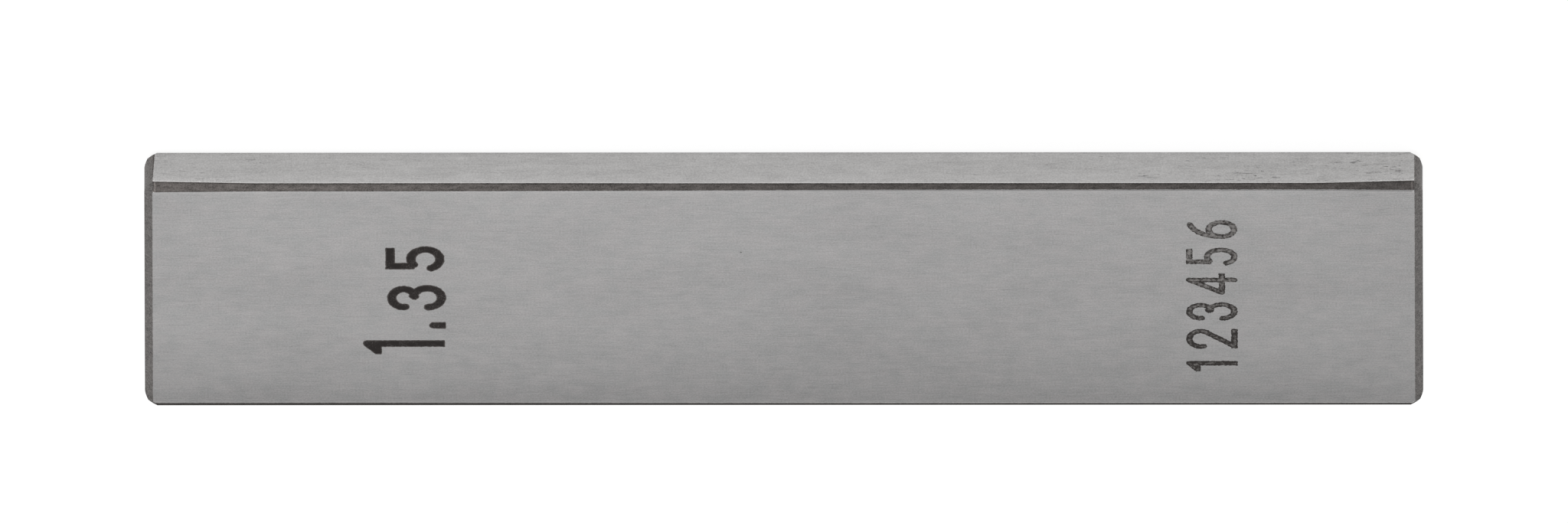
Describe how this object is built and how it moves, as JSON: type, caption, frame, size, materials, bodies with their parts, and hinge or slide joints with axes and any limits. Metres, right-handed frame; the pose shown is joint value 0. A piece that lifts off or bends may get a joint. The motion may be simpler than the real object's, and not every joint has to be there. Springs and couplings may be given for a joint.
{
  "type": "gauge block",
  "caption": "Rectangular lapped steel gauge block, a thin slip used as a length standard between its two measuring faces, with its size marked on one of them.",
  "frame": {"origin": "middle of the lower, unmarked measuring face, on which the block lies", "axes": "+X along the block's length, +Y across its width, +Z through its thickness, out of the marked measuring face"},
  "size_m": [0.035, 0.0088, 0.0014],
  "materials": {
    "lapped_steel": "hardened steel: finely lapped measuring faces with faint lines along the length, satin ground sides and ends, darker grainy stoned chamfers",
    "size_marking": "dark etched figures, almost flush with the steel, slightly rough",
    "serial_marking": "paler grey electro-etched figures with darker outlines, almost flush with the steel"
  },
  "bodies": {
    "root": {"gauge_block": "lapped_steel"}
  },
  "joints": []
}
